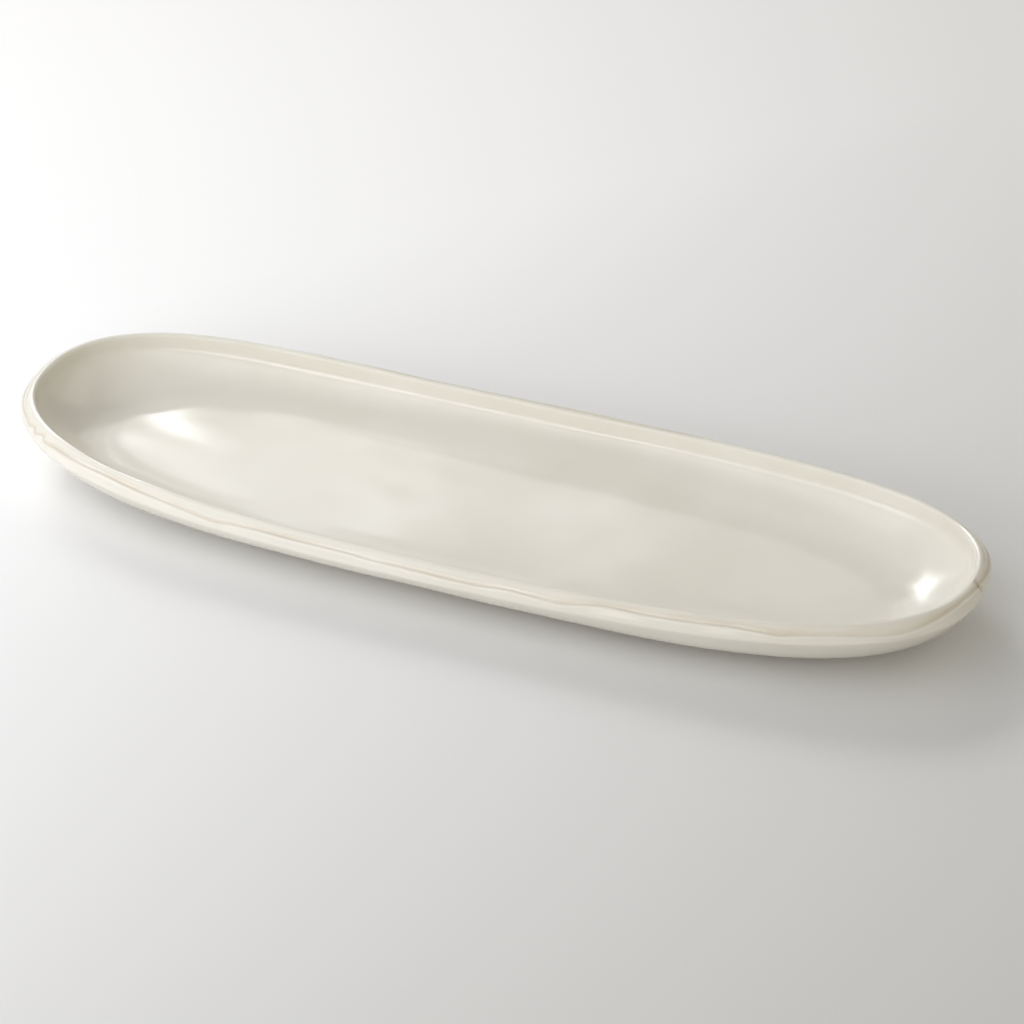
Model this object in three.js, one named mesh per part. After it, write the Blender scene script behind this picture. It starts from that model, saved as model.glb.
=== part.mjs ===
// A long oval serving dish, hand built in stoneware: a basin with a rounded lip, two clay strips luted on
// under the lip, a foot ring, and a coat of ivory glaze over everything but the foot and the bottom.
// Millimetres, Z up, X along the dish. The origin is on the table, under the middle of the dish.
import * as THREE from "three";

// Overall size, measured over the glaze
const LENGTH = 500;
const WIDTH = 164; // at the middle of the length
const SIDE_HEIGHT = 31; // table to the top of the lip at the middle of a long side
const END_RISE = 9; // how much higher the lip stands at the two ends

// Plan of the rim: |x / a| ^ LONG_POWER + |y / b| ^ CROSS_POWER = 1
const LONG_POWER = 3.8;
const CROSS_POWER = 2.27;
const TAPER = 0.025; // share by which the +X end is narrower and the -X end wider
const END_TUCK = 12; // how far the two ends draw in under the widest line, at the height of the foot

// Basin
const FLOOR_THICKNESS = 7;
const COVE_WIDTH = 40; // from the edge of the flat floor to the inside of the wall
const WALL_HEIGHT = 5; // upright part of the wall, between the cove and the lip
const LIP_INSIDE = 0.9; // from the crest of the lip to the inside of the wall
const LIP_ROUND = 0.8; // height of the rounding inside the lip
const LIP_POWER = 1.25; // slope of the rim from the crest to the widest line: 1 is an ellipse, 2 a straight slope
const OVERHANG = 5.2; // from the crest of the lip out to the widest line of the rim
const SHOULDER_DROP = 6.7; // from the crest of the lip down to the widest line
const BELLY_POWER = 1.5; // underside between the widest line and the foot: 1 is an ellipse, 2 a straight slope

// Rim bands, which wrap the shoulder and the upper part of the underside
const BAND_THICKNESS = 2.6; // from the seam to the widest line
const BAND_EDGE = 1.2; // thickness at the lower edge
const BAND_DROP = 11; // from the widest line down to the lower edge
const BAND_JOINT_ANGLES = [0, 205]; // degrees round the plan, where the two strips meet at the ends

// Seam between the lip and the bands, a valley that wanders up and down as it was pressed by hand
const SEAM_ANGLE = 47; // degrees round the shoulder, from the crest at 0 to the widest line at 90
const SEAM_WIDTH = 2.2;
const SEAM_DEPTH = 0.8;
const SEAM_WAVES = [
  { turns: 6, size: 4.3, phase: 5.5 },
  { turns: 8, size: 5.1, phase: 6.0 },
  { turns: 12, size: 2.8, phase: 0.3 },
]; // size in degrees round the shoulder

// Sway of the hand-pressed rim in plan
const RIM_WAVES = [
  { turns: 2, size: 0.3, phase: 5.9 },
  { turns: 3, size: 0.2, phase: 0.5 },
  { turns: 4, size: 0.7, phase: 2.9 },
  { turns: 5, size: 0.3, phase: 0.9 },
  { turns: 6, size: 0.3, phase: 5.1 },
];

// Foot ring
const FOOT_HEIGHT = 3;
const FOOT_WIDTH = 8;
const FOOT_INSET = 26; // from the crest of the lip in to the outside of the foot
const FOOT_CHAMFER = 1;

// Glaze coat
const GLAZE_THICKNESS = 0.5;
const BARE_HEIGHT = 2.5; // clay left bare between the foot and the glaze

// Joint of slip between two pieces
const LUTING_GAP = 0.3;

// Facets
const STEPS_ROUND = 72;
const COVE_STEPS = 7;
const LIP_STEPS = 3;
const SHOULDER_STEPS = 2;
const BELLY_STEPS = 3;
const MIDDLE_STRIP = 10; // half width of the flat strip that closes a floor

// Sizes that follow from those above
const DEGREE = Math.PI / 180;
const COAT = LUTING_GAP + GLAZE_THICKNESS;
const CREST_HALF_LENGTH = LENGTH / 2 - OVERHANG - COAT;
const CREST_HALF_WIDTH = WIDTH / 2 - OVERHANG - COAT;
const CREST_HEIGHT = SIDE_HEIGHT - COAT;
const SHOULDER_HEIGHT = CREST_HEIGHT - SHOULDER_DROP;
const LIP_HEIGHT = CREST_HEIGHT - LIP_ROUND;
const COVE_HEIGHT = LIP_HEIGHT - WALL_HEIGHT;
const FLOOR_HEIGHT = FOOT_HEIGHT + FLOOR_THICKNESS;
const BAND_END_HEIGHT = SHOULDER_HEIGHT - BAND_DROP;
const VALLEY_HALF_ANGLE = SEAM_WIDTH / (OVERHANG + SHOULDER_DROP);
const MIDDLE_OUT = MIDDLE_STRIP - CREST_HALF_WIDTH;

const roundAngles = Array.from({ length: STEPS_ROUND }, (_, i) => (2 * Math.PI * i) / STEPS_ROUND);

function sumOfWaves(waves, angle) {
  return waves.reduce((sum, wave) => sum + wave.size * Math.sin(wave.turns * angle + wave.phase), 0);
}

function seamAngle(angle) {
  return (SEAM_ANGLE + sumOfWaves(SEAM_WAVES, angle)) * DEGREE;
}

// Share of the end rise that a height takes: none on the floor and below, all of it on the shoulder and above
function riseShare(height) {
  return THREE.MathUtils.smoothstep(height, FLOOR_HEIGHT + COAT, SHOULDER_HEIGHT);
}

// Point of the dish at an angle round the plan, so far outside the crest of the lip and so high at mid side
function place(angle, [out, height]) {
  const share = riseShare(height);
  const along = Math.cos(angle);
  const lowShare = 1 - THREE.MathUtils.smoothstep(height, FOOT_HEIGHT, SHOULDER_HEIGHT);
  const tuck = END_TUCK * lowShare * Math.abs(along) ** 3 * Math.min(1 + out / CREST_HALF_WIDTH, 1);
  const outside = out + share * sumOfWaves(RIM_WAVES, angle) - tuck;
  const across = Math.sign(Math.sin(angle)) * (1 - Math.abs(along) ** LONG_POWER) ** (1 / CROSS_POWER);
  return new THREE.Vector3(
    (CREST_HALF_LENGTH + outside) * along,
    (CREST_HALF_WIDTH + outside) * across * (1 - TAPER * along),
    height + END_RISE * share * along * along,
  );
}

// Lines of the section, as [out, height]. "coat" is the distance outside the clay's own face.

function flatLine(out, height) {
  return () => [out, height];
}

// Inside curve, turn 0 at the flat floor and 1 at the wall
function coveLine(turn, coat) {
  const swing = (turn * Math.PI) / 2;
  const out = -LIP_INSIDE - COVE_WIDTH + (COVE_WIDTH - coat) * Math.sin(swing);
  const height = COVE_HEIGHT - (COVE_HEIGHT - FLOOR_HEIGHT - coat) * Math.cos(swing);
  return flatLine(out, height);
}

// Inside rounding of the lip, turn 0 at the wall and 1 at the crest
function lipInsideLine(turn, coat) {
  const swing = (turn * Math.PI) / 2;
  const out = -(LIP_INSIDE + coat) * Math.cos(swing);
  const height = LIP_HEIGHT + (LIP_ROUND + coat) * Math.sin(swing);
  return flatLine(out, height);
}

// Point of the rolled rim, swing 0 at the crest and a right angle at the widest line
function roll(swing, coat) {
  const out = (OVERHANG + coat) * Math.sin(swing) ** LIP_POWER;
  return [out, SHOULDER_HEIGHT + (SHOULDER_DROP + coat) * Math.cos(swing) ** LIP_POWER];
}

// Outside of the lip, turn 0 at the crest and 1 where the seam's valley begins
function lipOutsideLine(turn, coat) {
  return (angle) => roll(turn * (seamAngle(angle) - VALLEY_HALF_ANGLE), coat);
}

// Bottom of the seam's valley, and the faces that run in from it
function seamLine(coat) {
  return (angle) => roll(seamAngle(angle), coat);
}

// Upper part of the bands, turn 0 where the seam's valley ends and 1 at the widest line
function shoulderLine(turn, coat) {
  return (angle) => roll(THREE.MathUtils.lerp(seamAngle(angle) + VALLEY_HALF_ANGLE, Math.PI / 2, turn), coat);
}

function bellySwing(height) {
  const share = (SHOULDER_HEIGHT - height) / (SHOULDER_HEIGHT - FOOT_HEIGHT);
  return Math.asin(share ** (1 / BELLY_POWER));
}

// Underside, named by the height of the clay's own face there
function bellyLine(height, coat) {
  const swing = bellySwing(height);
  const out = -FOOT_INSET + (OVERHANG + FOOT_INSET + coat) * Math.cos(swing) ** BELLY_POWER;
  const drop = (SHOULDER_HEIGHT - FOOT_HEIGHT + coat) * Math.sin(swing) ** BELLY_POWER;
  return flatLine(out, SHOULDER_HEIGHT - drop);
}

// Faces where the bands lie on the basin, from the seam to the lower edge, "gap" away from the basin
function seatLines(gap) {
  const seatTop = (angle) => {
    const [out, height] = roll(seamAngle(angle), gap - BAND_THICKNESS);
    return [out, height - gap / Math.sin(seamAngle(angle))];
  };
  const seatShoulder = (angle) => roll((seamAngle(angle) + Math.PI / 2) / 2, gap - BAND_THICKNESS);
  const middleHeight = SHOULDER_HEIGHT - BAND_DROP / 2;
  const middleThickness = (BAND_THICKNESS + BAND_EDGE) / 2;
  return [
    seatTop,
    seatShoulder,
    bellyLine(SHOULDER_HEIGHT, gap - BAND_THICKNESS),
    bellyLine(middleHeight, gap - middleThickness),
    bellyLine(BAND_END_HEIGHT + gap, gap - BAND_EDGE),
  ];
}

function between(steps, line) {
  return Array.from({ length: steps }, (_, i) => line((i + 1) / steps));
}

function bellyBetween(top, bottom, coat) {
  return between(BELLY_STEPS, (turn) => bellyLine(THREE.MathUtils.lerp(top, bottom, turn), coat));
}

// Lines from the middle of the floor over the crest to the edge of the seam's valley
function insideLines(coat) {
  return [
    flatLine(MIDDLE_OUT, FLOOR_HEIGHT + coat),
    coveLine(0, coat),
    ...between(COVE_STEPS, (turn) => coveLine(turn, coat)),
    lipInsideLine(0, coat),
    ...between(LIP_STEPS, (turn) => lipInsideLine(turn, coat)),
    ...between(LIP_STEPS, (turn) => lipOutsideLine(turn, coat)),
  ];
}

// Lines from the lower edge of the seam's valley to the widest line and down to the end of the bands
function bandLines(endHeight, coat) {
  return [
    shoulderLine(0, coat),
    ...between(SHOULDER_STEPS, (turn) => shoulderLine(turn, coat)),
    ...bellyBetween(SHOULDER_HEIGHT, endHeight, coat),
  ];
}

// Triangles between neighbouring rows of points, each row as long as the next
function skinTriangles(rowCount, rowLength, rowsClose, rowClosed) {
  const triangles = [];
  for (let j = 0; j < (rowsClose ? rowCount : rowCount - 1); j++) {
    for (let i = 0; i < (rowClosed ? rowLength : rowLength - 1); i++) {
      const near = j * rowLength;
      const far = ((j + 1) % rowCount) * rowLength;
      const next = (i + 1) % rowLength;
      triangles.push([near + i, far + i, far + next], [near + i, far + next, near + next]);
    }
  }
  return triangles;
}

// Triangles of a flat strip across an oval ring, facing up, with the points of each side paired
function stripTriangles(first) {
  const triangles = [];
  for (let i = 0; i < STEPS_ROUND / 2; i++) {
    const left = first + i;
    const leftNext = first + i + 1;
    const right = first + ((STEPS_ROUND - i) % STEPS_ROUND);
    const rightNext = first + STEPS_ROUND - i - 1;
    if (left !== right) triangles.push([right, left, leftNext]);
    if (leftNext !== rightNext) triangles.push([right, leftNext, rightNext]);
  }
  return triangles;
}

function geometryFrom(points, triangles) {
  const geometry = new THREE.BufferGeometry().setFromPoints(points);
  geometry.setIndex(triangles.flat());
  geometry.computeVertexNormals();
  return geometry;
}

function turnedRound(triangles) {
  return triangles.map(([a, b, c]) => [a, c, b]);
}

// Solid whose skin is a stack of rings, closed at the first and the last one
function ringStack(lines) {
  const points = lines.flatMap((line) => roundAngles.map((angle) => place(angle, line(angle))));
  const last = (lines.length - 1) * STEPS_ROUND;
  return geometryFrom(points, [
    ...skinTriangles(lines.length, STEPS_ROUND, false, true),
    ...stripTriangles(0),
    ...turnedRound(stripTriangles(last)),
  ]);
}

// Solid ring of a closed section
function closedRing(lines) {
  const points = lines.flatMap((line) => roundAngles.map((angle) => place(angle, line(angle))));
  return geometryFrom(points, skinTriangles(lines.length, STEPS_ROUND, true, true));
}

// Triangles that close the end of a section at one angle, as indices into its lines
function endTriangles(lines, angle) {
  const section = lines.map((line) => new THREE.Vector2(...line(angle)));
  const triangles = THREE.ShapeUtils.triangulateShape(section, []);
  const leftTurning = ([a, b, c]) => THREE.ShapeUtils.area([section[a], section[b], section[c]]) > 0;
  return triangles.map((triangle) => (leftTurning(triangle) ? triangle : turnedRound([triangle])[0]));
}

// Strip of a closed section from one angle to another, with flat ends
function openStrip(lines, angles) {
  const points = lines.flatMap((line) => angles.map((angle) => place(angle, line(angle))));
  const startEnd = endTriangles(lines, angles[0]).map((t) => t.map((line) => line * angles.length));
  const farEnd = endTriangles(lines, angles.at(-1)).map((t) => t.map((line) => (line + 1) * angles.length - 1));
  return geometryFrom(points, [
    ...skinTriangles(lines.length, angles.length, true, false),
    ...startEnd,
    ...turnedRound(farEnd),
  ]);
}

// Angles of a strip between two joints, on the same facets as the basin, less half a gap at each end
function stripAngles(startDegrees, endDegrees) {
  const step = (2 * Math.PI) / STEPS_ROUND;
  const start = Math.round((startDegrees * DEGREE) / step);
  const end = Math.round((endDegrees * DEGREE) / step);
  const angles = Array.from({ length: end - start + 1 }, (_, i) => (start + i) * step);
  const halfGapAngle = (from, to) => {
    const stride = place(from, [0, CREST_HEIGHT]).distanceTo(place(to, [0, CREST_HEIGHT]));
    return ((LUTING_GAP / 2) * (to - from)) / stride;
  };
  const startTrim = halfGapAngle(angles[0], angles[1]);
  const endTrim = halfGapAngle(angles.at(-2), angles.at(-1));
  return [angles[0] + startTrim, ...angles.slice(1, -1), angles.at(-1) - endTrim];
}

function makeBasin() {
  return ringStack([
    ...insideLines(0),
    seamLine(-SEAM_DEPTH),
    ...seatLines(0),
    bellyLine(BAND_END_HEIGHT, 0),
    ...bellyBetween(BAND_END_HEIGHT, FOOT_HEIGHT, 0),
    flatLine(MIDDLE_OUT, FOOT_HEIGHT),
  ]);
}

function makeBand(startDegrees, endDegrees) {
  const valleyEdge = (angle) => {
    const [out, height] = roll(seamAngle(angle), -SEAM_DEPTH);
    return [out, height - LUTING_GAP / Math.sin(seamAngle(angle))];
  };
  const section = [
    valleyEdge,
    ...bandLines(BAND_END_HEIGHT + LUTING_GAP, 0),
    ...seatLines(LUTING_GAP).reverse(),
  ];
  return openStrip(section, stripAngles(startDegrees, endDegrees));
}

function makeFootRing() {
  const outside = -FOOT_INSET;
  const inside = outside - FOOT_WIDTH;
  const top = FOOT_HEIGHT - LUTING_GAP;
  return closedRing([
    flatLine(inside, top),
    flatLine(outside, top),
    flatLine(outside, FOOT_CHAMFER),
    flatLine(outside - FOOT_CHAMFER, 0),
    flatLine(inside + FOOT_CHAMFER, 0),
    flatLine(inside, FOOT_CHAMFER),
  ]);
}

function makeGlazeCoat() {
  const edgeHeight = FOOT_HEIGHT + BARE_HEIGHT;
  const faceLines = (coat) => [
    ...insideLines(coat),
    seamLine(coat - SEAM_DEPTH),
    ...bandLines(BAND_END_HEIGHT, coat),
    ...bellyBetween(BAND_END_HEIGHT, edgeHeight, coat),
  ];
  return ringStack([...faceLines(COAT), ...faceLines(LUTING_GAP).reverse()]);
}

function bareClay() {
  return new THREE.MeshStandardMaterial({ color: 0xcdbb9c, roughness: 0.9, metalness: 0 });
}

function ivoryGlaze() {
  return new THREE.MeshStandardMaterial({ color: 0xe9e5da, roughness: 0.18, metalness: 0 });
}

const [rightJoint, leftJoint] = BAND_JOINT_ANGLES;
const dish = new THREE.Group();

function addPiece(name, geometry, material) {
  const mesh = new THREE.Mesh(geometry, material);
  mesh.name = name;
  dish.add(mesh);
}

addPiece("basin", makeBasin(), bareClay());
addPiece("rim_band_back", makeBand(rightJoint, leftJoint), bareClay());
addPiece("rim_band_front", makeBand(leftJoint, rightJoint + 360), bareClay());
addPiece("foot_ring", makeFootRing(), bareClay());
addPiece("glaze_coat", makeGlazeCoat(), ivoryGlaze());

export default dish;
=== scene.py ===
# A long oval serving dish, hand built in stoneware under a glossy ivory glaze, with a wavy luted seam below
# its rolled lip. Metres, Z up, X along the dish. Every clay piece is a stack of loops on one oval plan.
import math

import bpy
import numpy as np
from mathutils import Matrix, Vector, noise


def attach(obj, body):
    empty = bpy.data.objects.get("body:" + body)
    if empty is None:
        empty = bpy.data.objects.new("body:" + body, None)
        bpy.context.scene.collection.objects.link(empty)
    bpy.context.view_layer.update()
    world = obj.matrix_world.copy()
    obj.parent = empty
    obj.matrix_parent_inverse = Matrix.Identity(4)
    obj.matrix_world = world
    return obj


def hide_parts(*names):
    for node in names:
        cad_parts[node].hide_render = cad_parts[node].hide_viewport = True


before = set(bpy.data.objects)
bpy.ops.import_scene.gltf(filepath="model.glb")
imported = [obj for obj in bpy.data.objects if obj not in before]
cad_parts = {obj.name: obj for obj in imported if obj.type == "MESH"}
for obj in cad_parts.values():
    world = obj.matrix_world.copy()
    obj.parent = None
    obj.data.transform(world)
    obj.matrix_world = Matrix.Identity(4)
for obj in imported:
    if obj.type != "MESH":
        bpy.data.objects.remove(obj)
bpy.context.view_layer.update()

MM = 0.001
DEGREE = math.pi / 180
QUARTER = math.pi / 2
TURN = 2 * math.pi

# Overall size over the glaze, and the plan of the rim
LENGTH = 500 * MM
WIDTH = 164 * MM
SIDE_HEIGHT = 31 * MM
END_RISE = 9 * MM
LONG_POWER = 3.8
CROSS_POWER = 2.27
TAPER = 0.025
END_TUCK = 12 * MM
TUCK_POWER = 3

# Basin
FLOOR_THICKNESS = 7 * MM
COVE_WIDTH = 40 * MM
WALL_HEIGHT = 5 * MM
LIP_INSIDE = 0.9 * MM
LIP_ROUND = 0.8 * MM
LIP_POWER = 1.25
OVERHANG = 5.2 * MM
SHOULDER_DROP = 6.7 * MM
BELLY_POWER = 1.5

# Rim bands and the seam above them, with angles in degrees
BAND_THICKNESS = 2.6 * MM
BAND_EDGE = 1.2 * MM
BAND_DROP = 11 * MM
RIGHT_JOINT = 0
LEFT_JOINT = 205
SEAM_ANGLE = 47
SEAM_WIDTH = 2.2 * MM
SEAM_DEPTH = 0.8 * MM
GLAZED_SEAM_DEPTH = 0.45 * MM
VALLEY_POWER = 1.2

# Foot ring, glaze and the slip between pieces
FOOT_HEIGHT = 3 * MM
FOOT_WIDTH = 8 * MM
FOOT_INSET = 26 * MM
FOOT_ROUND = 1.2 * MM
GLAZE_THICKNESS = 0.5 * MM
BARE_HEIGHT = 2.5 * MM
LUTING_GAP = 0.3 * MM

# Sway of the rim in plan and of the seam round the shoulder: turns, size, phase
RIM_WAVES = [
    (2, 0.3 * MM, 5.9),
    (3, 0.2 * MM, 0.5),
    (4, 0.7 * MM, 2.9),
    (5, 0.3 * MM, 0.9),
    (6, 0.3 * MM, 5.1),
]
SEAM_WAVES = [
    (6, 4.3, 5.5),
    (8, 5.1, 6.0),
    (12, 2.8, 0.3),
]

# Pushes of a thumb on the seam, in degrees: place round the plan, size, fade before, fade after
SEAM_PRESSES = [
    (227, -3, 3, 3),
    (245.6, 9, 3.5, 1.3),
    (251, -4, 3, 3),
    (265, 3, 1.5, 3),
    (280.5, -7, 2, 2.5),
    (287.4, 10, 2.5, 1.6),
    (292.5, -7, 2, 3),
    (308, -5.5, 4, 2.5),
    (314.7, 8, 2, 2.5),
    (323, -4.5, 3, 2.5),
    (335, 10, 4, 8),
    (90, -30, 42, 34),
    (203.4, 8, 0.6, 1.5),
    (206.6, -6, 0.9, 0.5),
    (207.5, 9, 0.5, 1.3),
    (210.6, -8, 1.2, 0.5),
    (211.5, 8, 0.5, 2.4),
]

# Sizes that follow from those above
COAT = LUTING_GAP + GLAZE_THICKNESS
CREST_HALF_LENGTH = LENGTH / 2 - OVERHANG - COAT
CREST_HALF_WIDTH = WIDTH / 2 - OVERHANG - COAT
CREST_HEIGHT = SIDE_HEIGHT - COAT
SHOULDER_HEIGHT = CREST_HEIGHT - SHOULDER_DROP
LIP_HEIGHT = CREST_HEIGHT - LIP_ROUND
COVE_HEIGHT = LIP_HEIGHT - WALL_HEIGHT
FLOOR_HEIGHT = FOOT_HEIGHT + FLOOR_THICKNESS
BAND_END_HEIGHT = SHOULDER_HEIGHT - BAND_DROP
GLAZE_END_HEIGHT = FOOT_HEIGHT + BARE_HEIGHT
VALLEY_HALF = SEAM_WIDTH / (OVERHANG + SHOULDER_DROP)
COVE_START = -LIP_INSIDE - COVE_WIDTH
SPINE = -CREST_HALF_WIDTH

# Loops, and the values that their points keep
STEPS_ROUND = 720
STEP = TURN / STEPS_ROUND
SPINE_OPENING = 0.2 * MM
MERGE_DISTANCE = 0.002 * MM
ANGLE = "angle"
LINE = "line"
PUSHED = "pushed"
# share of tan from thin glaze and painted shade in the seam and the crease
THIN_GLAZE_AND_SHADE = "thin_glaze_and_shade"


def wave_sum(waves, angle):
    return sum(size * np.sin(turns * angle + phase) for turns, size, phase in waves)


def press(angle, place, before, after):
    """Share of a push of the hand that is whole at one place round the plan and fades on both sides."""
    away = (angle - place * DEGREE + math.pi) % TURN - math.pi
    fade = np.where(away < 0, before, after) * DEGREE
    return np.exp(-(away / fade) ** 2)


def seam_swing(angle):
    """Swing of the seam round the shoulder, from the crest at 0 to the widest line at a right angle."""
    pushed = sum(size * press(angle, place, before, after) for place, size, before, after in SEAM_PRESSES)
    return (SEAM_ANGLE + wave_sum(SEAM_WAVES, angle) + pushed) * DEGREE


def smooth_share(value, low, high):
    share = np.clip((value - low) / (high - low), 0, 1)
    return share * share * (3 - 2 * share)


def plan(angle):
    """Point of the plan of the rim, one long and one wide."""
    along = np.cos(angle)
    across = np.sign(np.sin(angle)) * (1 - np.abs(along) ** LONG_POWER) ** (1 / CROSS_POWER)
    return along, across * (1 - TAPER * along)


def placed(angle, out, height):
    """Points at these angles round the plan, so far outside the lip's crest and so high at mid side."""
    share = smooth_share(height, FLOOR_HEIGHT + COAT, SHOULDER_HEIGHT)
    along, across = plan(angle)
    low = 1 - smooth_share(height, FOOT_HEIGHT, SHOULDER_HEIGHT)
    tuck = END_TUCK * low * np.abs(along) ** TUCK_POWER * np.minimum(1 - out / SPINE, 1)
    outside = out + share * wave_sum(RIM_WAVES, angle) - tuck
    x = (CREST_HALF_LENGTH + outside) * along
    y = (CREST_HALF_WIDTH + outside) * across
    z = height + END_RISE * share * along * along
    return np.stack(np.broadcast_arrays(x, y, z), axis=-1)


# Lines of the section. Each gives (out, height) for a swing of the seam; coat is the distance off the clay.


def still(out, height):
    return lambda seam: (out, height)


def cove_line(turn, coat):
    swing = turn * QUARTER
    out = COVE_START + (COVE_WIDTH - coat) * math.sin(swing)
    return still(out, COVE_HEIGHT - (COVE_HEIGHT - FLOOR_HEIGHT - coat) * math.cos(swing))


def wall_line(turn, coat):
    return still(-LIP_INSIDE - coat, COVE_HEIGHT + turn * WALL_HEIGHT)


def lip_inside_line(turn, coat):
    swing = turn * QUARTER
    return still(-(LIP_INSIDE + coat) * math.cos(swing), LIP_HEIGHT + (LIP_ROUND + coat) * math.sin(swing))


def rolled(swing, coat):
    """Point of the rolled rim, a little flatter than a quarter of an ellipse."""
    out = (OVERHANG + coat) * np.sin(swing) ** LIP_POWER
    return out, SHOULDER_HEIGHT + (SHOULDER_DROP + coat) * np.cos(swing) ** LIP_POWER


def lip_outside_line(turn, coat):
    return lambda seam: rolled(turn * (seam - VALLEY_HALF), coat)


def valley_line(side, coat, depth):
    """Line in the seam's valley: side -1 at the lip's edge, 0 at the bottom and 1 at the band's edge."""
    sunk = depth * (1 - abs(side)) ** VALLEY_POWER
    return lambda seam: rolled(seam + side * VALLEY_HALF, coat - sunk)


def shoulder_line(turn, coat):
    return lambda seam: rolled((seam + VALLEY_HALF) * (1 - turn) + QUARTER * turn, coat)


def belly_line(height, coat):
    """Line of the underside, named by the height of the clay's own face there."""
    share = (SHOULDER_HEIGHT - height) / (SHOULDER_HEIGHT - FOOT_HEIGHT)
    swing = math.asin(share ** (1 / BELLY_POWER))
    out = -FOOT_INSET + (OVERHANG + FOOT_INSET + coat) * math.cos(swing) ** BELLY_POWER
    drop = (SHOULDER_HEIGHT - FOOT_HEIGHT + coat) * math.sin(swing) ** BELLY_POWER
    return still(out, SHOULDER_HEIGHT - drop)


def bottom_line(turn):
    """Line of the flat bottom, from the foot at 0 to the spine at 1."""
    return still(-FOOT_INSET + (SPINE + FOOT_INSET) * turn, FOOT_HEIGHT)


def between(steps, line):
    return [line((i + 1) / steps) for i in range(steps)]


def belly_lines(steps, top, bottom, coat):
    return between(steps, lambda turn: belly_line(top + (bottom - top) * turn, coat))


def inside_lines(coat, floor_steps, cove_steps, lip_steps):
    """Lines from the middle of the floor up to the crest of the lip."""
    floor = FLOOR_HEIGHT + coat
    return [
        still(SPINE, floor),
        *between(floor_steps, lambda turn: still(SPINE + (COVE_START - SPINE) * turn, floor)),
        *between(cove_steps, lambda turn: cove_line(turn, coat)),
        *between(lip_steps // 2, lambda turn: wall_line(turn, coat)),
        *between(lip_steps, lambda turn: lip_inside_line(turn, coat)),
    ]


def outside_lines(coat, valley_sides, valley_depth, lip_steps, shoulder_steps, belly_steps):
    """Lines from the crest over the seam and the widest line, down to the end of the glaze."""
    return [
        *between(lip_steps, lambda turn: lip_outside_line(turn, coat)),
        *[valley_line(side, coat, valley_depth) for side in valley_sides],
        *between(shoulder_steps, lambda turn: shoulder_line(turn, coat)),
        *belly_lines(belly_steps, SHOULDER_HEIGHT, GLAZE_END_HEIGHT, coat),
    ]


def glaze_edge_lines(steps):
    """Lines round the lower edge of the coat, where the glaze stopped in a rounded bead."""
    half = GLAZE_THICKNESS / 2

    def edge_line(turn):
        swing = math.pi * turn
        height = GLAZE_END_HEIGHT - half * math.sin(swing)
        return belly_line(height, LUTING_GAP + half + half * math.cos(swing))

    return [edge_line((i + 1) / (steps + 1)) for i in range(steps)]


def seat_lines(gap):
    """Lines where the bands lie on the basin, from the seam to their lower edge."""

    def top(seam):
        out, height = rolled(seam, gap - BAND_THICKNESS)
        return out, height - gap / np.sin(seam)

    def shoulder(seam):
        return rolled((seam + QUARTER) / 2, gap - BAND_THICKNESS)

    middle = SHOULDER_HEIGHT - BAND_DROP / 2
    return [
        top,
        shoulder,
        belly_line(SHOULDER_HEIGHT, gap - BAND_THICKNESS),
        belly_line(middle, gap - (BAND_THICKNESS + BAND_EDGE) / 2),
        belly_line(BAND_END_HEIGHT + gap, gap - BAND_EDGE),
    ]


# Loops of points, extruded one after the other


def start_loop(name):
    """A closed loop on the plan of the rim. Each point keeps its angle as an attribute."""
    bpy.ops.object.select_all(action="DESELECT")
    bpy.ops.mesh.primitive_circle_add(vertices=STEPS_ROUND, radius=1, fill_type="NOTHING")
    piece = bpy.context.object
    piece.name = name
    piece.data.name = name
    kept = piece.data.attributes.new(ANGLE, "FLOAT", "POINT")
    for point, mark in zip(piece.data.vertices, kept.data):
        mark.value = round(math.atan2(point.co.y, point.co.x) / STEP) % STEPS_ROUND * STEP
        point.co.x, point.co.y = plan(mark.value)
    piece.data.attributes.active = piece.data.attributes.new(LINE, "FLOAT", "POINT")
    return piece


def extrude_section(piece, section):
    """Extrudes the loop through the section, line by line, with the seam at its middle swing."""
    reach = (1, 1)
    level = 0
    bpy.ops.object.mode_set(mode="EDIT")
    bpy.ops.mesh.select_mode(type="EDGE")
    bpy.ops.mesh.select_all(action="SELECT")
    for number, line in enumerate(section):
        out, height = line(SEAM_ANGLE * DEGREE)
        out = max(out, SPINE + SPINE_OPENING)
        wanted = (CREST_HALF_LENGTH + out, CREST_HALF_WIDTH + out)
        if number:
            bpy.ops.mesh.extrude_edges_move()
        scale = (wanted[0] / reach[0], wanted[1] / reach[1], 1)
        bpy.ops.transform.resize(value=scale, center_override=(0, 0, 0))
        bpy.ops.transform.translate(value=(0, 0, height - level))
        bpy.ops.mesh.attribute_set(value_float=number)
        reach = wanted
        level = height
    bpy.ops.object.mode_set(mode="OBJECT")


def point_values(piece, name):
    values = np.zeros(len(piece.data.vertices), np.float32)
    piece.data.attributes[name].data.foreach_get("value", values)
    return values.astype(float)


def mark_points(piece, name, values):
    marks = piece.data.attributes.new(name, "FLOAT", "POINT")
    marks.data.foreach_set("value", values.astype(np.float32))


def point_steps(piece):
    """Number of each point's step round the plan."""
    return np.rint(point_values(piece, ANGLE) / STEP).astype(int) % STEPS_ROUND


def set_points(piece, points):
    piece.data.vertices.foreach_set("co", points.astype(np.float32).ravel())
    piece.data.update()


def press_section(piece, section, angle):
    """Presses the loops to their swayed and raised places. Gives each point's line, out and height."""
    line_number = np.rint(point_values(piece, LINE)).astype(int)
    out = np.zeros(len(angle))
    height = np.zeros(len(angle))
    for number, line in enumerate(section):
        here = line_number == number
        out[here], height[here] = line(seam_swing(angle[here]))
    set_points(piece, placed(angle, out, height))
    return line_number, out, height


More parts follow.
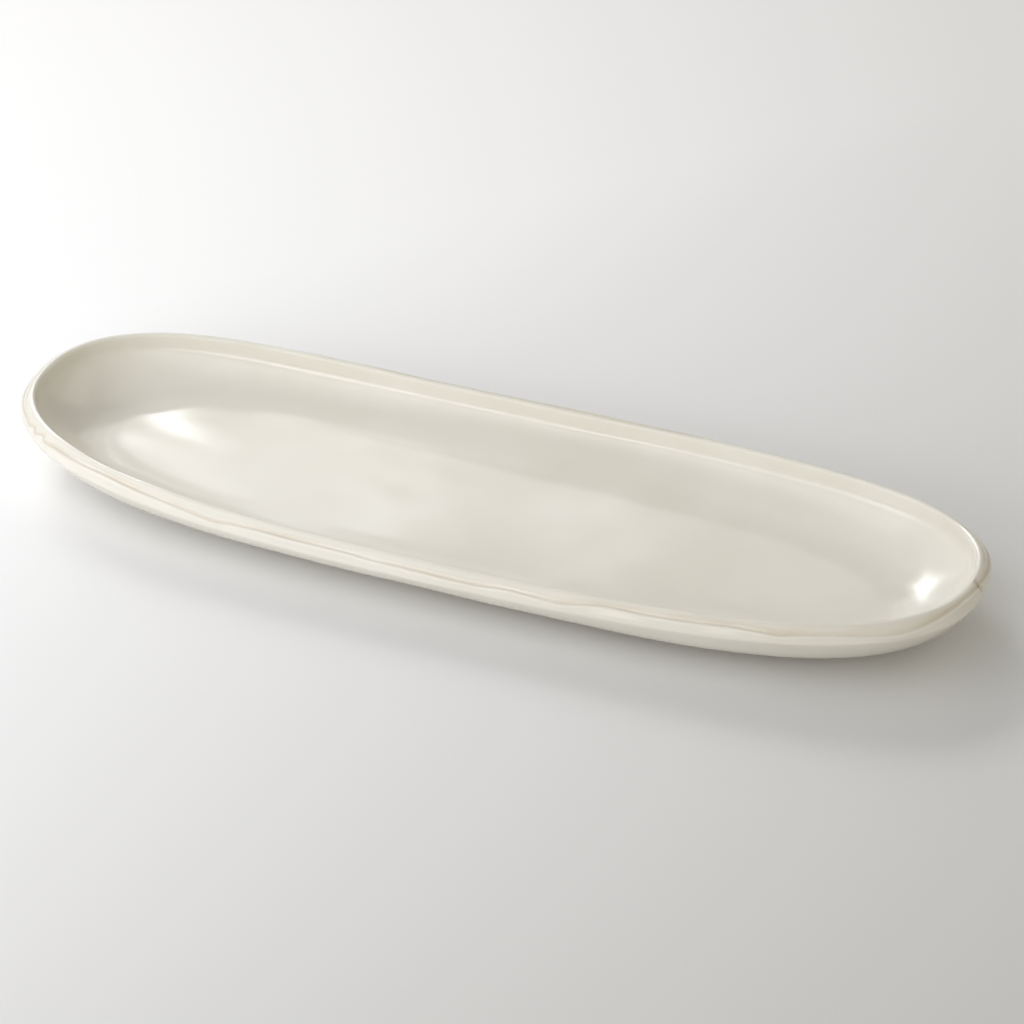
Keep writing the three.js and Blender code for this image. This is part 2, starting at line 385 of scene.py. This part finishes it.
def close_skin(piece):
    """Merges the points that meet, on the spine or where a section closes, and turns all faces outwards."""
    bpy.ops.object.mode_set(mode="EDIT")
    bpy.ops.mesh.select_all(action="SELECT")
    bpy.ops.mesh.remove_doubles(threshold=MERGE_DISTANCE)
    bpy.ops.mesh.normals_make_consistent(inside=False)
    bpy.ops.object.mode_set(mode="OBJECT")
    bpy.ops.object.shade_smooth()


def hand_in(piece, node, material):
    """The finished piece stands for its node, moves with the dish and has its own finish."""
    piece.data.materials.clear()
    piece.data.materials.append(material)
    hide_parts(node)
    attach(piece, "root")


# Hand-made unevenness of the glazed face. A place gives degrees round the plan, fade before and fade after.
RIPPLE_GAIN = 1.6
FLOOR_RIPPLE = 0.19 * MM
FLOOR_REACH = (38 * MM, 19 * MM, 60 * MM)
FLOOR_SEED = 3.1
WALL_RIPPLE = 0.16 * MM
WALL_REACH = (70 * MM, 50 * MM, 60 * MM)
WALL_SEED = 7.7
WALL_FOOT = 2 * MM
WALL_TURN = (-1 * MM, 3 * MM)
RIM_RIPPLE = 0.2 * MM
RIM_REACH = (26 * MM, 26 * MM, 14 * MM)
RIM_SEED = 12.3
FAR_SWELL = 1 * MM
FAR_SWELL_PLACE = (151, 14, 12)
FAR_SWELL_OUT = (-74 * MM, -44 * MM)
FAR_SWELL_TOP = 3 * MM
BAND_BEAD = 0.3 * MM
BEAD_SPREAD = 0.12
BACK_BEAD = 0.5 * MM
BACK_BEAD_SPREAD = 0.22
BACK_BEAD_PLACE = (88, 45, 38)
LIP_RIDGE = 0.14 * MM
LIP_RIDGE_HEIGHT = 0.28
LIP_HOLLOW = 0.14 * MM
LIP_HOLLOW_HEIGHT = 0.62
LIP_SPREAD = 0.09
LIP_RIDGE_PLACE = (232, 20, 26)
BELLY_FILL = 0.7 * MM
BELLY_FILL_FULL = (9 * MM, 13 * MM)
BELLY_FILL_START = COVE_START / 2
CREASE_DEPTH = 0.8 * MM
CREASE_PLACE = (358.6, 0.5, 0.5)
CREASE_TOP = (0.15, 0.4)
CREASE_BOTTOM = (1.0, 1.3)
EDGE_TURN = 0.3
EDGE_TURN_OUT = 1.0 * MM
EDGE_TURN_PLACE = (352, 38, 22)


def ripple(points, reach, seed):
    """Smooth unevenness between about -1 and 1, with swells as long as reach in each direction."""
    scaled = points / np.array(reach) + seed
    return np.array([noise.noise(Vector(point)) for point in scaled]) * RIPPLE_GAIN


def ripples(points, out, height):
    """Long swells of the floor, the wall and the rim."""
    on_wall = smooth_share(height, FLOOR_HEIGHT + WALL_FOOT, COVE_HEIGHT)
    inside = 1 - smooth_share(out, *WALL_TURN)
    floor = FLOOR_RIPPLE * (1 - on_wall) * ripple(points, FLOOR_REACH, FLOOR_SEED)
    wall = WALL_RIPPLE * on_wall * inside * ripple(points, WALL_REACH, WALL_SEED)
    rim = RIM_RIPPLE * on_wall * ripple(points, RIM_REACH, RIM_SEED)
    return floor + wall + rim


def far_swell(angle, out, height):
    """Swell where the floor rises to the wall at the far left."""
    rising = smooth_share(out, *FAR_SWELL_OUT)
    fading = 1 - smooth_share(height, FLOOR_HEIGHT + FAR_SWELL_TOP, COVE_HEIGHT)
    return FAR_SWELL * press(angle, *FAR_SWELL_PLACE) * rising * fading * (out < 0)


def rim_swing(out, height):
    """Swing of a glazed point round the rolled rim, 0 at the crest and a right angle at the widest line."""
    across = np.maximum(out / (OVERHANG + COAT), 0) ** (1 / LIP_POWER)
    up = np.maximum((height - SHOULDER_HEIGHT) / (SHOULDER_DROP + COAT), 0) ** (1 / LIP_POWER)
    return np.arctan2(across, up)


def rounded(swing, middle, spread):
    """Share of a rounded line along the rim that is whole at its middle swing."""
    return np.exp(-(((swing - middle) / spread) ** 2))


def rim_lines(angle, swing):
    """Beads of clay below the seam, and the ridge and hollow that a finger left on the lip above it."""
    seam = seam_swing(angle)
    edge = seam + VALLEY_HALF
    bead = BAND_BEAD * rounded(swing, edge, BEAD_SPREAD)
    back_bead = BACK_BEAD * rounded(swing, edge + BACK_BEAD_SPREAD / 2, BACK_BEAD_SPREAD)
    ridge = LIP_RIDGE * rounded(swing, LIP_RIDGE_HEIGHT * seam, LIP_SPREAD)
    hollow = LIP_HOLLOW * rounded(swing, LIP_HOLLOW_HEIGHT * seam, LIP_SPREAD)
    finger = press(angle, *LIP_RIDGE_PLACE) * (ridge - hollow)
    return bead + press(angle, *BACK_BEAD_PLACE) * back_bead + finger


def belly_fill(out, height):
    """Fuller clay in the lower belly and in the cove above it."""
    low, high = BELLY_FILL_FULL
    filled = smooth_share(height, GLAZE_END_HEIGHT, low) * (1 - smooth_share(height, high, SHOULDER_HEIGHT))
    here = (out > BELLY_FILL_START) & (height < SHOULDER_HEIGHT)
    return BELLY_FILL * filled * smooth_share(out, BELLY_FILL_START, 0) * here


def crease_share(angle, swing):
    """Share of the crease where the two bands meet at the right tip."""
    across = smooth_share(swing, *CREASE_TOP) * (1 - smooth_share(swing, *CREASE_BOTTOM))
    return across * press(angle, *CREASE_PLACE)


def unevenness(points, angle, out, height):
    """How far the hand pushed each point of the glazed face off its plain form, outwards positive."""
    swing = rim_swing(out, height)
    rim = rim_lines(angle, swing) - CREASE_DEPTH * crease_share(angle, swing)
    swells = ripples(points, out, height) + far_swell(angle, out, height) + belly_fill(out, height)
    return swells + np.where(out > 0, rim, 0)


def turned_edge(angle, out, height):
    """How far the lip's inner edge was smoothed down at the right end."""
    turned = np.clip(EDGE_TURN_OUT - out, 0, EDGE_TURN_OUT + LIP_INSIDE)
    on_lip = smooth_share(height, COVE_HEIGHT, LIP_HEIGHT)
    return EDGE_TURN * turned * on_lip * press(angle, *EDGE_TURN_PLACE)


def push_out(piece):
    """Moves each point along its normal as far as it was pushed."""
    count = len(piece.data.vertices)
    normals = np.zeros(count * 3, np.float32)
    piece.data.vertex_normals.foreach_get("vector", normals)
    places = np.zeros(count * 3, np.float32)
    piece.data.vertices.foreach_get("co", places)
    pushed = point_values(piece, PUSHED)[:, None]
    set_points(piece, places.reshape(-1, 3) + normals.reshape(-1, 3) * pushed)


# Tan of thin glaze, with painted shade, along the seam and in the crease. Widths are shares of half the
# seam's valley.
CREASE_TAN_AND_SHADE = 1.6
TAN_ABOVE = 0.9
TAN_BELOW = 0.5
# painted shade: the tan reaches further up the lip at the front right, where the dish lies in shade
SHADED_FRONT_TAN = 1.3
SHADED_FRONT_TAN_PLACE = (325, 35, 28)


def thin_glaze_and_shade_share(angle, out, height):
    """Share of tan along the bottom of the seam and in the crease: partly glaze run thin over the clay,
    partly painted shade in these hollows, reaching further up at the shaded front right.
    """
    swing = rim_swing(out, height)
    below = swing - seam_swing(angle)
    upper = TAN_ABOVE + SHADED_FRONT_TAN * press(angle, *SHADED_FRONT_TAN_PLACE)
    valley = rounded(below, 0, VALLEY_HALF * np.where(below < 0, upper, TAN_BELOW))
    return np.where(out > 0, np.maximum(valley, CREASE_TAN_AND_SHADE * crease_share(angle, swing)), 0)


# Finishes


class Finish:
    """A material under construction: a principled shader and a short way to add and join nodes."""

    def __init__(self, name):
        self.material = bpy.data.materials.new(name)
        self.material.use_nodes = True
        self.tree = self.material.node_tree
        self.shader = self.tree.nodes["Principled BSDF"]
        self.place = self.node("ShaderNodeTexCoord").outputs["Object"]

    def node(self, kind, **settings):
        node = self.tree.nodes.new(kind)
        for name, value in settings.items():
            setattr(node, name, value)
        return node

    def join(self, source, target):
        self.tree.links.new(source, target)

    def give(self, name, source):
        self.join(source, self.shader.inputs[name])

    def noise(self, scale, detail, roughness=0.5):
        node = self.node("ShaderNodeTexNoise")
        self.join(self.place, node.inputs["Vector"])
        node.inputs["Scale"].default_value = scale
        node.inputs["Detail"].default_value = detail
        node.inputs["Roughness"].default_value = roughness
        return node.outputs["Fac"]

    def spread(self, source, given, wanted):
        """Turns one range of values into another and keeps to it."""
        node = self.node("ShaderNodeMapRange")
        self.join(source, node.inputs["Value"])
        for name, value in zip(("From Min", "From Max", "To Min", "To Max"), (*given, *wanted)):
            node.inputs[name].default_value = value
        return node.outputs["Result"]

    def mix(self, share, first, second):
        node = self.node("ShaderNodeMix", data_type="RGBA")
        self.join(share, node.inputs["Factor"])
        for socket, colour in ((node.inputs["A"], first), (node.inputs["B"], second)):
            if isinstance(colour, tuple):
                socket.default_value = (*colour, 1)
            else:
                self.join(colour, socket)
        return node.outputs["Result"]

    def along(self, direction):
        """How far a point lies in a direction."""
        node = self.node("ShaderNodeVectorMath", operation="DOT_PRODUCT")
        self.join(self.place, node.inputs[0])
        node.inputs[1].default_value = direction
        return node.outputs["Value"]

    def away(self, point):
        """How far a point lies from another."""
        node = self.node("ShaderNodeVectorMath", operation="DISTANCE")
        self.join(self.place, node.inputs[0])
        node.inputs[1].default_value = point
        return node.outputs["Value"]

    def product(self, first, second):
        node = self.node("ShaderNodeMath", operation="MULTIPLY")
        self.join(first, node.inputs[0])
        self.join(second, node.inputs[1])
        return node.outputs["Value"]

    def total(self, first, second, times=1):
        """The first value and so many times the second."""
        node = self.node("ShaderNodeMath", operation="MULTIPLY_ADD")
        self.join(second, node.inputs[0])
        node.inputs[1].default_value = times
        self.join(first, node.inputs[2])
        return node.outputs["Value"]

    def bump(self, height, distance, strength):
        node = self.node("ShaderNodeBump")
        node.inputs["Distance"].default_value = distance
        node.inputs["Strength"].default_value = strength
        self.join(height, node.inputs["Height"])
        self.give("Normal", node.outputs["Normal"])


WHOLE = (0, 1)
GONE = (1, 0)
NOISE_MIDDLE = (0.35, 0.65)
NOISE_WIDE = (0.3, 0.7)

IVORY = (0.77, 0.745, 0.67)
IVORY_DEEP = (0.73, 0.70, 0.615)
# tan of thin glaze, also standing in for shade in the seam and the crease
TAN = (0.58, 0.50, 0.38)
TAN_PATCHES = (0.3, 0.7)
GLAZE_ROUGHNESS = (0.1, 0.15)
GLAZE_BUMP = 0.05 * MM
GLAZE_BUMP_STRENGTH = 0.25
SPECK = (0.2, 0.14, 0.08)
SPECK_PLACE = (49.2 * MM, 74.4 * MM, 25 * MM)
SPECK_REACH = 0.7 * MM
BLISTER_PLACE = (-0.5 * MM, 0.8 * MM, 10.8 * MM)
BLISTER_REACH = 3.2 * MM
BLISTER_TIMES = 9


def ivory_glaze():
    finish = Finish("ivory glaze")
    cloud = finish.spread(finish.noise(scale=14, detail=3), NOISE_MIDDLE, WHOLE)
    ivory = finish.mix(cloud, IVORY, IVORY_DEEP)
    # tan of thin glaze and painted shade along the seam and in the crease, in patches
    thin_and_shade = finish.node("ShaderNodeAttribute", attribute_name=THIN_GLAZE_AND_SHADE).outputs["Fac"]
    patches = finish.spread(finish.noise(scale=45, detail=2), NOISE_MIDDLE, TAN_PATCHES)
    seam_tan_and_shade = finish.mix(finish.product(thin_and_shade, patches), ivory, TAN)
    speck = finish.spread(finish.away(SPECK_PLACE), (0, SPECK_REACH), GONE)
    finish.give("Base Color", finish.mix(speck, seam_tan_and_shade, SPECK))
    finish.give("Roughness", finish.spread(finish.noise(scale=60, detail=3), NOISE_WIDE, GLAZE_ROUGHNESS))
    blister = finish.spread(finish.away(BLISTER_PLACE), (0, BLISTER_REACH), GONE)
    dimples = finish.total(finish.noise(scale=160, detail=1), blister, BLISTER_TIMES)
    finish.bump(dimples, GLAZE_BUMP, GLAZE_BUMP_STRENGTH)
    return finish.material


CLAY = (0.60, 0.49, 0.35)
CLAY_DARK = (0.47, 0.37, 0.25)
CLAY_ROUGHNESS = (0.75, 0.95)
CLAY_BUMP = 0.4 * MM
CLAY_BUMP_STRENGTH = 0.5


def bare_clay():
    finish = Finish("bare stoneware")
    grain = finish.noise(scale=900, detail=4, roughness=0.7)
    patches = finish.spread(finish.noise(scale=25, detail=3), NOISE_WIDE, WHOLE)
    finish.give("Base Color", finish.mix(patches, CLAY, CLAY_DARK))
    finish.give("Roughness", finish.spread(grain, NOISE_WIDE, CLAY_ROUGHNESS))
    finish.bump(grain, CLAY_BUMP, CLAY_BUMP_STRENGTH)
    return finish.material


# Pieces
FACE_VALLEY = (-1, -0.75, -0.5, -0.25, 0, 0.2, 0.4, 0.6, 0.8, 1)
BACK_VALLEY = (-1, 0, 1)
GLAZE_EDGE_STEPS = 4
BASIN_LIP_STEPS = 3
BASIN_BELLY_STEPS = 10
BASIN_BOTTOM_STEPS = 4
BAND_SHOULDER_STEPS = 4
BAND_BELLY_STEPS = 6
BAND_SMOOTH_ANGLE = 40
FOOT_CORNER_STEPS = 4


def make_glaze(material):
    """One coat over the inside, the lip and the outside, closed along its back and at its lower edge."""
    face = [
        *inside_lines(COAT, floor_steps=8, cove_steps=22, lip_steps=6),
        *outside_lines(COAT, FACE_VALLEY, GLAZED_SEAM_DEPTH, lip_steps=12, shoulder_steps=8, belly_steps=18),
        *glaze_edge_lines(GLAZE_EDGE_STEPS),
    ]
    back = [
        *inside_lines(LUTING_GAP, floor_steps=1, cove_steps=6, lip_steps=2),
        *outside_lines(LUTING_GAP, BACK_VALLEY, SEAM_DEPTH, lip_steps=2, shoulder_steps=2, belly_steps=5),
    ]
    section = face + back[::-1]
    piece = start_loop("ivory_glaze_coat")
    extrude_section(piece, section)
    angle = point_values(piece, ANGLE)
    number, out, height = press_section(piece, section, angle)
    on_face = number < len(face)
    points = placed(angle, out, height - np.where(on_face, turned_edge(angle, out, height), 0))
    set_points(piece, points)
    mark_points(piece, PUSHED, np.where(on_face, unevenness(points, angle, out, height), 0))
    # tan share: thin glaze and painted shade in the seam and the crease
    mark_points(piece, THIN_GLAZE_AND_SHADE, thin_glaze_and_shade_share(angle, out, height))
    close_skin(piece)
    push_out(piece)
    hand_in(piece, "glaze_coat", material)


def make_basin(material):
    section = [
        *inside_lines(0, floor_steps=1, cove_steps=8, lip_steps=2),
        *between(BASIN_LIP_STEPS, lambda turn: lip_outside_line(turn, 0)),
        valley_line(0, 0, SEAM_DEPTH),
        *seat_lines(0),
        belly_line(BAND_END_HEIGHT, 0),
        *belly_lines(BASIN_BELLY_STEPS, BAND_END_HEIGHT, FOOT_HEIGHT, 0),
        *between(BASIN_BOTTOM_STEPS, bottom_line),
    ]
    piece = start_loop("clay_basin")
    extrude_section(piece, section)
    press_section(piece, section, point_values(piece, ANGLE))
    close_skin(piece)
    hand_in(piece, "basin", material)


def joint_step(joint):
    return round(joint * DEGREE / STEP)


def band_angles(piece, start, end):
    """Angles of a band's points, with its two end loops drawn in by half the slip of the joint."""
    angle = point_values(piece, ANGLE)
    number = point_steps(piece)
    for here, side in ((joint_step(start), 1), (joint_step(end), -1)):
        chord = placed(np.array([here * STEP, (here + side) * STEP]), OVERHANG, SHOULDER_HEIGHT)
        share = LUTING_GAP / 2 / np.linalg.norm(chord[1] - chord[0])
        angle = np.where(number == here % STEPS_ROUND, (here + side * share) * STEP, angle)
    return angle


def cut_to_span(piece, start, end):
    """Deletes the faces of a closed ring outside one span and closes its two ends."""
    number = point_steps(piece)
    span = range(joint_step(start), joint_step(end))
    bpy.ops.object.mode_set(mode="EDIT")
    bpy.ops.mesh.select_mode(type="FACE")
    bpy.ops.mesh.select_all(action="DESELECT")
    bpy.ops.object.mode_set(mode="OBJECT")
    for face in piece.data.polygons:
        steps = [number[point] for point in face.vertices]
        first = max(steps) if max(steps) - min(steps) > 1 else min(steps)
        face.select = first not in span
    bpy.ops.object.mode_set(mode="EDIT")
    bpy.ops.mesh.delete(type="FACE")
    bpy.ops.mesh.select_all(action="SELECT")
    bpy.ops.mesh.fill_holes(sides=0)
    bpy.ops.object.mode_set(mode="OBJECT")


def make_band(name, node, start, end, material):
    """A clay strip luted on under the lip, from one joint to the other."""
    face = [
        lambda seam: rolled(seam, 0),
        *between(BAND_SHOULDER_STEPS, lambda turn: lambda seam: rolled(seam + (QUARTER - seam) * turn, 0)),
        *belly_lines(BAND_BELLY_STEPS, SHOULDER_HEIGHT, BAND_END_HEIGHT + LUTING_GAP, 0),
    ]
    seat = seat_lines(LUTING_GAP)
    section = face + seat[::-1] + face[:1]
    piece = start_loop(name)
    extrude_section(piece, section)
    press_section(piece, section, band_angles(piece, start, end))
    close_skin(piece)
    cut_to_span(piece, start, end)
    close_skin(piece)
    bpy.ops.object.shade_smooth_by_angle(angle=BAND_SMOOTH_ANGLE * DEGREE)
    hand_in(piece, node, material)


def make_foot(material):
    outside = -FOOT_INSET
    inside = outside - FOOT_WIDTH
    top = FOOT_HEIGHT - LUTING_GAP

    def corner(out, turn):
        swing = turn * QUARTER
        return still(out + FOOT_ROUND * math.sin(swing), FOOT_ROUND - FOOT_ROUND * math.cos(swing))

    turns = [i / FOOT_CORNER_STEPS for i in range(FOOT_CORNER_STEPS + 1)]
    section = [
        still(inside, top),
        still(outside, top),
        *[corner(outside - FOOT_ROUND, 1 - turn) for turn in turns],
        *[corner(inside + FOOT_ROUND, -turn) for turn in turns],
        still(inside, top),
    ]
    piece = start_loop("clay_foot_ring")
    extrude_section(piece, section)
    press_section(piece, section, point_values(piece, ANGLE))
    close_skin(piece)
    hand_in(piece, "foot_ring", material)


# Studio floor: pale paper with painted light falloff, lit white at the back left and painted shade towards
# the near right, and a painted glow for the camera at the back and far away
FLOOR_SIZE = 14
# Painted light falloff on the floor: the lit colour, the shaded colour, the direction of the fall and its
# span
FLOOR_PAINTED_LIT = (0.95, 0.95, 0.95)
FLOOR_PAINTED_SHADE = (0.595, 0.593, 0.58)
PAINTED_FALLOFF_DIRECTION = (0.8, -0.6, 0)
PAINTED_FALLOFF_SPAN = (-0.3, 0.45)
PAPER_ROUGHNESS = 0.9
GLOW_RISE = (-1, 0.3, 0)
GLOW_SPAN = (0.1, 0.73)
GLOW = 0.15
FAR_SPAN = (0.85, 2.6)
FAR_GLOW = 0.5
WHITE = (1, 1, 1)


def studio_floor():
    bpy.ops.object.select_all(action="DESELECT")
    bpy.ops.mesh.primitive_plane_add(size=FLOOR_SIZE)
    floor = bpy.context.object
    floor.name = "studio_floor"
    finish = Finish("studio floor")
    # painted light falloff: the floor colour goes from lit white at the back left to shaded grey at the near
    # right
    painted_falloff = finish.spread(finish.along(PAINTED_FALLOFF_DIRECTION), PAINTED_FALLOFF_SPAN, WHOLE)
    finish.give("Base Color", finish.mix(painted_falloff, FLOOR_PAINTED_LIT, FLOOR_PAINTED_SHADE))
    back_glow = finish.spread(finish.along(GLOW_RISE), GLOW_SPAN, (0, GLOW))
    far_glow = finish.spread(finish.away((0, 0, 0)), FAR_SPAN, (0, FAR_GLOW))
    seen = finish.node("ShaderNodeLightPath").outputs["Is Camera Ray"]
    finish.shader.inputs["Emission Color"].default_value = (*WHITE, 1)
    finish.give("Emission Strength", finish.product(finish.total(back_glow, far_glow), seen))
    finish.shader.inputs["Roughness"].default_value = PAPER_ROUGHNESS
    finish.shader.inputs["Specular IOR Level"].default_value = 0
    floor.data.materials.append(finish.material)


# Studio light
DAYLIGHT = (1, 1, 1)
SKY_LIGHT = (0.97, 0.985, 1.04)
ROOM_LIGHT = (1, 0.92, 0.76)
WORLD_LIGHT = (1, 0.98, 0.94)
WORLD_STRENGTH = 0.15
ROOM_WALL = (0.8, 0.8, 0.79)
LIGHT_LEVEL = 1.025
LAMP_AIM = Vector((0, 0, 0.02))

# Soft lamps: azimuth, elevation, distance, then width and height in degrees, radiance and colour
STUDIO_LAMPS = {
    "softbox_core": (137, 36.5, 8, 17, 11, 5, DAYLIGHT),
    "softbox_middle": (138.5, 36, 8, 24, 16, 2.4, DAYLIGHT),
    "softbox_outside": (139, 34.5, 8, 30, 19, 1.1, DAYLIGHT),
    "softbox_edge": (123.5, 30, 8, 13, 15, 1.3, DAYLIGHT),
    "softbox_glow": (114, 30, 8, 6, 15, 1, DAYLIGHT),
    "softbox_haze": (106, 30, 8, 10, 15, 0.9, DAYLIGHT),
    "window_lower": (139, 20, 8, 26, 16, 0.6, DAYLIGHT),
    "low_window": (118, 16, 8, 30, 16, 0.9, DAYLIGHT),
    "back_panel": (85, 15, 3, 30, 22, 0.15, DAYLIGHT),
    "left_back_panel": (150, 40, 0.9, 50, 24, 0.45, SKY_LIGHT),
    "left_front_panel": (210, 40, 0.8, 50, 24, 0.6, SKY_LIGHT),
    "left_low_panel": (165, 20, 1, 50, 24, 0.5, DAYLIGHT),
    "left_front_low": (205, 14, 3, 40, 20, 1, SKY_LIGHT),
    "overhead_panel": (180, 68, 0.7, 60, 40, 0.3, SKY_LIGHT),
    "overhead_front_panel": (250, 65, 0.9, 60, 30, 0.65, SKY_LIGHT),
    "front_left_low": (235, 18, 3, 40, 22, 1.45, SKY_LIGHT),
    "front_left_near": (234, 21, 0.6, 54, 26, 0.85, SKY_LIGHT),
    "front_left_high": (225, 42, 3, 40, 36, 0.4, DAYLIGHT),
    "front_low": (270, 18, 3, 40, 22, 2.2, DAYLIGHT),
    "front_high": (270, 44, 3, 46, 40, 0.52, DAYLIGHT),
    "front_right_low": (315, 8, 3, 40, 11, 1.2, ROOM_LIGHT),
    "front_right_high": (315, 40, 3, 40, 24, 0.5, ROOM_LIGHT),
    "right_low": (0, 15, 3, 40, 22, 0.7, ROOM_LIGHT),
    "right_back_low": (45, 15, 3, 40, 22, 0.55, ROOM_LIGHT),
    "right_back_high": (45, 40, 3, 40, 24, 0.85, ROOM_LIGHT),
}


def towards(azimuth, elevation, distance):
    """Place in a direction from the middle of the dish, azimuth from +X towards +Y, in degrees."""
    turn = azimuth * DEGREE
    lift = elevation * DEGREE
    flat = distance * math.cos(lift)
    return Vector((flat * math.cos(turn), flat * math.sin(turn), distance * math.sin(lift)))


def soft_lamp(name, azimuth, elevation, distance, width, height, radiance, colour):
    """A rectangular lamp aimed at the dish, so wide and high in degrees from there. Radiance 1 is white."""
    across = 2 * distance * math.tan(width / 2 * DEGREE)
    up = 2 * distance * math.tan(height / 2 * DEGREE)
    lamp = bpy.data.lights.new(name, "AREA")
    lamp.shape = "RECTANGLE"
    lamp.size = across
    lamp.size_y = up
    lamp.energy = LIGHT_LEVEL * radiance * math.pi * across * up
    lamp.color = colour
    holder = bpy.data.objects.new(name, lamp)
    bpy.context.scene.collection.objects.link(holder)
    holder.location = towards(azimuth, elevation, distance)
    holder.rotation_mode = "QUATERNION"
    holder.rotation_quaternion = (LAMP_AIM - holder.location).to_track_quat("-Z", "Y")
    holder.visible_camera = False


def studio_room():
    """Dim light from all round, from walls that look pale to the camera."""
    world = bpy.data.worlds.new("studio")
    bpy.context.scene.world = world
    world.use_nodes = True
    nodes = world.node_tree.nodes
    links = world.node_tree.links
    background = nodes["Background"]
    background.inputs["Color"].default_value = (*WORLD_LIGHT, 1)
    background.inputs["Strength"].default_value = WORLD_STRENGTH
    wall = nodes.new("ShaderNodeBackground")
    wall.inputs["Color"].default_value = (*ROOM_WALL, 1)
    seen = nodes.new("ShaderNodeLightPath").outputs["Is Camera Ray"]
    choice = nodes.new("ShaderNodeMixShader")
    links.new(seen, choice.inputs["Fac"])
    links.new(background.outputs["Background"], choice.inputs[1])
    links.new(wall.outputs["Background"], choice.inputs[2])
    links.new(choice.outputs["Shader"], nodes["World Output"].inputs["Surface"])


# Camera, as the photo was taken, with angles in degrees
CAMERA_PLACE = (0.46837, -1.05296, 0.75252)
CAMERA_PITCH = 32.7285
CAMERA_HEADING = 113.2942
CAMERA_LENS = 98.4375
CAMERA_SENSOR = 36


def photo_camera():
    lens = bpy.data.cameras.new("camera")
    lens.lens = CAMERA_LENS
    lens.sensor_width = CAMERA_SENSOR
    camera = bpy.data.objects.new("camera", lens)
    bpy.context.scene.collection.objects.link(camera)
    camera.location = CAMERA_PLACE
    camera.rotation_euler = ((90 - CAMERA_PITCH) * DEGREE, 0, (CAMERA_HEADING - 90) * DEGREE)
    bpy.context.scene.camera = camera


clay = bare_clay()
make_glaze(ivory_glaze())
make_basin(clay)
make_foot(clay)
make_band("clay_band_back", "rim_band_back", RIGHT_JOINT, LEFT_JOINT, clay)
make_band("clay_band_front", "rim_band_front", LEFT_JOINT, RIGHT_JOINT + 360, clay)
studio_floor()
studio_room()
for name, values in STUDIO_LAMPS.items():
    soft_lamp(name, *values)
photo_camera()
bpy.context.scene.view_settings.view_transform = "Standard"
